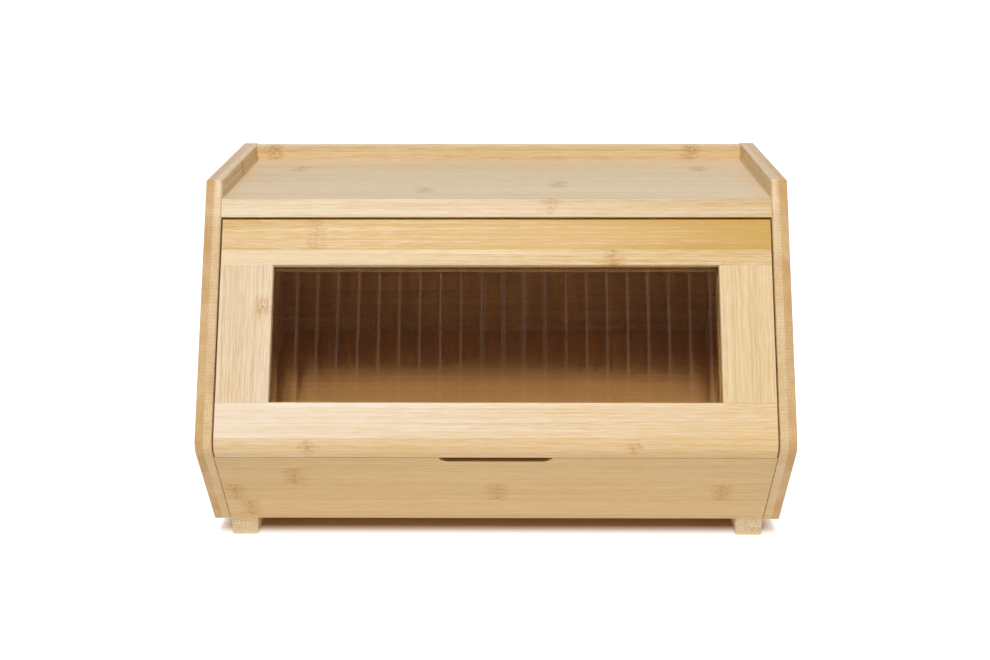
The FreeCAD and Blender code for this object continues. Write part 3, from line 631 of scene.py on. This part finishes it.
floorSettings = {"size": 30, "shade": (0.92, 0.92, 0.92, 1), "paintedReflectionUnder": (0.92, 0.62, 0.36, 1),
                 "rough": 0.9, "specular": 0.1, "glow": 0.6, "lift": 0.13,
                 "underSides": (0.19, 0.2), "underFront": (-0.066, -0.05), "underBack": (0.1, 0.12)}
clearSelection()
bpy.ops.mesh.primitive_plane_add(size=floorSettings["size"], location=(0, 0, 0))
floor = bpy.context.object
floor.name = floor.data.name = "studioFloor"
floorMaterial, tree, shader = newMaterial("studioFloor")
cameraRay = put(tree, "LightPath").outputs["Is Camera Ray"]
spot = axes(tree, put(tree, "TexCoord").outputs["Object"])
between = ramp(tree, maths(tree, "ABSOLUTE", spot[0]), *floorSettings["underSides"], 1.0, 0.0)
behind = ramp(tree, spot[1], *floorSettings["underFront"])
before = ramp(tree, spot[1], *floorSettings["underBack"], 1.0, 0.0)
under = maths(tree, "MULTIPLY", between, maths(tree, "MULTIPLY", behind, before))
strength = ramp(tree, cameraRay, 0.0, 1.0, floorSettings["lift"], floorSettings["glow"])
fillInputs(tree, shader, {  # beneath the box there is no glow, and the floor's colour there is a painted reflection of the wood, warm and darker
    "Base Color": blendColour(tree, under, floorSettings["shade"], floorSettings["paintedReflectionUnder"]),
    "Roughness": floorSettings["rough"], "Specular IOR Level": floorSettings["specular"],
    "Emission Color": (1, 1, 1, 1),
    "Emission Strength": maths(tree, "MULTIPLY", maths(tree, "SUBTRACT", 1.0, under), strength)})
dress(floor, floorMaterial)
print("floor made")


# room: white behind the box, dimmer where the camera stands

room = {"around": 0.22, "ahead": 0.03, "aheadSpan": (-0.45, 0.3), "aheadRise": 0.6, "backdrop": (0.0, 0.3)}
world = bpy.data.worlds.new("studio")
scene.world = world
world.use_nodes = True
tree = world.node_tree
rays = put(tree, "LightPath").outputs
look = axes(tree, put(tree, "TexCoord").outputs["Generated"])
backward = maths(tree, "MULTIPLY_ADD", look[2], room["aheadRise"], look[1])
light = ramp(tree, backward, *room["aheadSpan"], room["ahead"], room["around"])
mirrored = maths(tree, "MAXIMUM", rays["Is Glossy Ray"], rays["Is Transmission Ray"])
mirroredBack = maths(tree, "MULTIPLY", ramp(tree, look[1], *room["backdrop"]), mirrored)
white = maths(tree, "MAXIMUM", rays["Is Camera Ray"], mirroredBack)
fillInputs(tree, tree.nodes["Background"].inputs, {
    "Color": (1, 1, 1, 1), "Strength": ramp(tree, white, 0.0, 1.0, light, 1.0)})


# lamps

glint = {"power": 0.011, "width": 7, "tint": (1, 0.8, 0.68)}  # weak, to draw the pane's ridges
lamps = {
    "key": {"from": (-0.03, -0.58, 0.81), "power": 1.95, "width": 16},
    "left": {"from": (-0.8, -0.57, 0.2), "power": 0.22, "width": 20},
    "right": {"from": (0.8, -0.57, 0.2), "power": 0.16, "width": 20},
    "front": {"from": (0.15, -0.95, 0.2), "power": 0.06, "width": 30},
    "glintLeft": {"from": (-0.6, -0.56, 0.58), **glint},
    "glintRight": {"from": (0.6, -0.56, 0.58), **glint}}
for name, settings in lamps.items():
    lamp = bpy.data.objects.new(name, bpy.data.lights.new(name, "SUN"))
    scene.collection.objects.link(lamp)
    lamp.data.energy = settings["power"]
    lamp.data.angle = math.radians(settings["width"])
    lamp.data.color = settings.get("tint", (1, 1, 1))
    lamp.location = settings["from"]
    lamp.rotation_euler = (-lamp.location).to_track_quat("-Z", "Y").to_euler()
print("room and lamps set")
